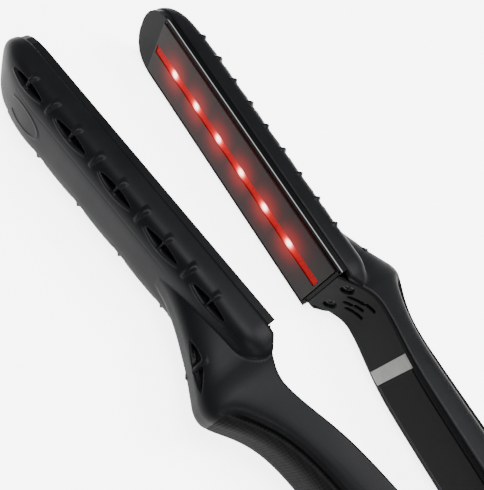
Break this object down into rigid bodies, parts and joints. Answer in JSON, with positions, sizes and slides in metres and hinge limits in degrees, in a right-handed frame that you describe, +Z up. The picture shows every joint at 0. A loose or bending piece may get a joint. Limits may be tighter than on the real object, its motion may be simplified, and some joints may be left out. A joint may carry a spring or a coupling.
{
  "type": "hair straightener",
  "caption": "Infrared hair straightener open in a V on its side, with vented barrels, floating plates, humped handles, a red lens strip, buttons and a swivel cord inlet.",
  "frame": {"origin": "centre of the part's bounding box in plan, at the height of its lowest point; the part lies on its side", "axes": "+X from the open tips to the hinge, +Y across the V to the arm with the red strip, +Z up along the hinge pin"},
  "size_m": [0.2981, 0.0806, 0.0242],
  "materials": {
    "moulded_shell": "satin moulded charcoal plastic, fine grain",
    "grip": "soft textured grip",
    "carrier": "heat resistant black plastic",
    "plate": "matte dark coated aluminium",
    "heater": "ceramic heater",
    "pressing": "pressed aluminium",
    "spring_steel": "spring steel",
    "red_lens": "clear red strip",
    "board": "circuit board lacquer",
    "lamp": "clear lamp",
    "inner_cover": "matte charcoal plastic",
    "screw": "dark zinc screw",
    "label": "blank silver foil",
    "panel": "blank black film",
    "button": "grey button",
    "window": "dark display window",
    "hinge": "glass filled nylon",
    "pin": "ground steel",
    "cap": "black cap",
    "collar": "black moulded collar"
  },
  "bodies": {
    "near_arm": {"shell_near": "moulded_shell", "grip_near": "grip", "carrier_near": "carrier", "leaf_springs_near": "spring_steel", "cover_near": "inner_cover", "screws_near": "screw", "display_window": "window", "control_board": "board", "switches": "hinge", "hinge_block_near": "hinge", "torsion_spring": "spring_steel"},
    "far_arm": {"shell_far": "moulded_shell", "grip_far": "grip", "carrier_far": "carrier", "leaf_springs_far": "spring_steel", "lamp_board": "board", "lamps": "lamp", "cover_far": "inner_cover", "screws_far": "screw", "blank_label": "label", "blank_panel": "panel", "hinge_block_far": "hinge", "hinge_pin": "pin", "pin_caps": "cap"},
    "near_plate": {"plate_near": "plate", "heaters_near": "heater", "clamp_near": "pressing", "cutout_near": "heater"},
    "far_plate": {"plate_far": "plate", "heaters_far": "heater", "clamp_far": "pressing", "cutout_far": "heater", "infrared_lens": "red_lens"},
    "power_button": {"power_button": "button"},
    "minus_button": {"minus_button": "button"},
    "plus_button": {"plus_button": "button"},
    "swivel": {"swivel_collar": "collar"}
  },
  "joints": [
    {"name": "arm_hinge", "type": "hinge", "parent": "near_arm", "child": "far_arm", "pos_m": [0.11948, 0, 0.0121], "axis": [0, 0, 1], "range_deg": [0, 9], "stiffness_Nm_per_rad": 0.6},
    {"name": "near_plate_float", "type": "slide", "parent": "near_arm", "child": "near_plate", "axis": [0.0785, -0.9969, 0], "range_m": [0, 0.0008], "stiffness_N_per_m": 2500},
    {"name": "far_plate_float", "type": "slide", "parent": "far_arm", "child": "far_plate", "axis": [0.0785, 0.9969, 0], "range_m": [0, 0.0008], "stiffness_N_per_m": 2500},
    {"name": "power_press", "type": "slide", "parent": "near_arm", "child": "power_button", "axis": [0.0785, -0.9969, 0], "range_m": [0, 0.0005], "stiffness_N_per_m": 400},
    {"name": "minus_press", "type": "slide", "parent": "near_arm", "child": "minus_button", "axis": [0.0785, -0.9969, 0], "range_m": [0, 0.0005], "stiffness_N_per_m": 400},
    {"name": "plus_press", "type": "slide", "parent": "near_arm", "child": "plus_button", "axis": [0.0785, -0.9969, 0], "range_m": [0, 0.0005], "stiffness_N_per_m": 400},
    {"name": "cord_swivel", "type": "hinge", "parent": "near_arm", "child": "swivel", "pos_m": [0.13942, 0.00157, 0.0121], "axis": [0.9969, 0.0785, 0], "continuous": true}
  ]
}
